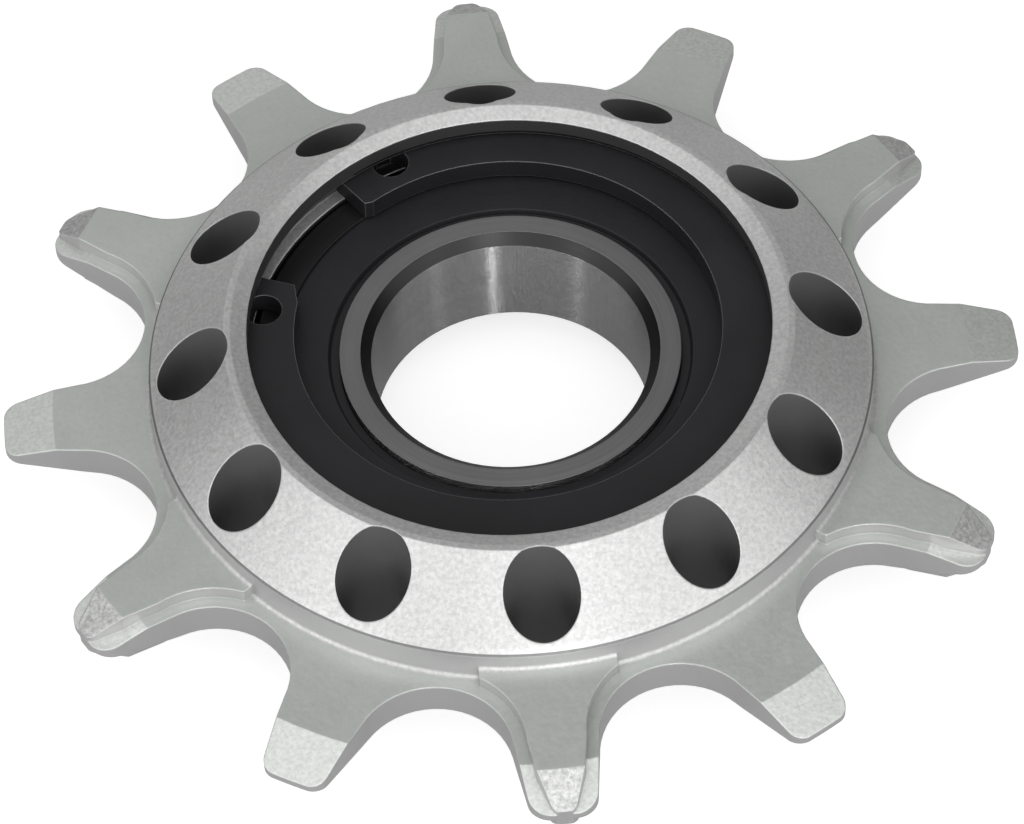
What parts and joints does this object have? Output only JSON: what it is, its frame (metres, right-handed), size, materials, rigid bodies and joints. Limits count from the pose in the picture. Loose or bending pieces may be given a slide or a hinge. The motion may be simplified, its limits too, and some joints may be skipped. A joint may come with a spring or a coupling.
{
  "type": "derailleur pulley",
  "caption": "Narrow-wide toothed pulley wheel with a conical hub, turning on a sealed ball bearing that a snap ring holds in the hub.",
  "frame": {"origin": "centre of the bearing's bore, on the mid-plane of the bearing and of the teeth", "axes": "+Z along the bore, out of the snap ring side; +X is the direction from which the first tooth stands 3.45 degrees round"},
  "size_m": [0.055, 0.055, 0.0111],
  "materials": {
    "zinc_finish": "machined and finely blasted, satin silver",
    "black_spring_steel": "black oxide, satin",
    "bearing_steel": "ground",
    "seal_rubber": "moulded, matte",
    "cage_steel": "pressed strip",
    "ball_steel": "polished"
  },
  "bodies": {
    "inner": {"inner_ring": "bearing_steel"},
    "wheel": {"toothed_wheel": "zinc_finish", "snap_ring": "black_spring_steel", "outer_ring": "bearing_steel", "front_seal": "seal_rubber", "rear_seal": "seal_rubber"},
    "cage": {"front_cage_half": "cage_steel", "rear_cage_half": "cage_steel", "cage_rivets": "cage_steel"},
    "ball_01": {"ball_01": "ball_steel"},
    "ball_02": {"ball_02": "ball_steel"},
    "ball_03": {"ball_03": "ball_steel"},
    "ball_04": {"ball_04": "ball_steel"},
    "ball_05": {"ball_05": "ball_steel"},
    "ball_06": {"ball_06": "ball_steel"},
    "ball_07": {"ball_07": "ball_steel"},
    "ball_08": {"ball_08": "ball_steel"},
    "ball_09": {"ball_09": "ball_steel"},
    "ball_10": {"ball_10": "ball_steel"},
    "ball_11": {"ball_11": "ball_steel"}
  },
  "joints": [
    {"name": "wheel_spin", "type": "hinge", "parent": "inner", "child": "wheel", "pos_m": [0, 0, 0], "axis": [0, 0, 1], "continuous": true},
    {"name": "cage_spin", "type": "hinge", "parent": "inner", "child": "cage", "pos_m": [0, 0, 0], "axis": [0, 0, 1], "continuous": true},
    {"name": "ball_01_spin", "type": "hinge", "parent": "cage", "child": "ball_01", "pos_m": [0.01075, 0, 0], "axis": [0, 0, 1], "continuous": true},
    {"name": "ball_02_spin", "type": "hinge", "parent": "cage", "child": "ball_02", "pos_m": [0.00904, 0.00581, 0], "axis": [0, 0, 1], "continuous": true},
    {"name": "ball_03_spin", "type": "hinge", "parent": "cage", "child": "ball_03", "pos_m": [0.00447, 0.00978, 0], "axis": [0, 0, 1], "continuous": true},
    {"name": "ball_04_spin", "type": "hinge", "parent": "cage", "child": "ball_04", "pos_m": [-0.00153, 0.01064, 0], "axis": [0, 0, 1], "continuous": true},
    {"name": "ball_05_spin", "type": "hinge", "parent": "cage", "child": "ball_05", "pos_m": [-0.00704, 0.00812, 0], "axis": [0, 0, 1], "continuous": true},
    {"name": "ball_06_spin", "type": "hinge", "parent": "cage", "child": "ball_06", "pos_m": [-0.01031, 0.00303, 0], "axis": [0, 0, 1], "continuous": true},
    {"name": "ball_07_spin", "type": "hinge", "parent": "cage", "child": "ball_07", "pos_m": [-0.01031, -0.00303, 0], "axis": [0, 0, 1], "continuous": true},
    {"name": "ball_08_spin", "type": "hinge", "parent": "cage", "child": "ball_08", "pos_m": [-0.00704, -0.00812, 0], "axis": [0, 0, 1], "continuous": true},
    {"name": "ball_09_spin", "type": "hinge", "parent": "cage", "child": "ball_09", "pos_m": [-0.00153, -0.01064, 0], "axis": [0, 0, 1], "continuous": true},
    {"name": "ball_10_spin", "type": "hinge", "parent": "cage", "child": "ball_10", "pos_m": [0.00447, -0.00978, 0], "axis": [0, 0, 1], "continuous": true},
    {"name": "ball_11_spin", "type": "hinge", "parent": "cage", "child": "ball_11", "pos_m": [0.00904, -0.00581, 0], "axis": [0, 0, 1], "continuous": true}
  ],
  "couplings": [
    {"joint": "cage_spin", "follows": "wheel_spin", "ratio": 0.5814},
    {"joint": "ball_01_spin", "follows": "wheel_spin", "ratio": 2.99},
    {"joint": "ball_02_spin", "follows": "wheel_spin", "ratio": 2.99},
    {"joint": "ball_03_spin", "follows": "wheel_spin", "ratio": 2.99},
    {"joint": "ball_04_spin", "follows": "wheel_spin", "ratio": 2.99},
    {"joint": "ball_05_spin", "follows": "wheel_spin", "ratio": 2.99},
    {"joint": "ball_06_spin", "follows": "wheel_spin", "ratio": 2.99},
    {"joint": "ball_07_spin", "follows": "wheel_spin", "ratio": 2.99},
    {"joint": "ball_08_spin", "follows": "wheel_spin", "ratio": 2.99},
    {"joint": "ball_09_spin", "follows": "wheel_spin", "ratio": 2.99},
    {"joint": "ball_10_spin", "follows": "wheel_spin", "ratio": 2.99},
    {"joint": "ball_11_spin", "follows": "wheel_spin", "ratio": 2.99}
  ]
}
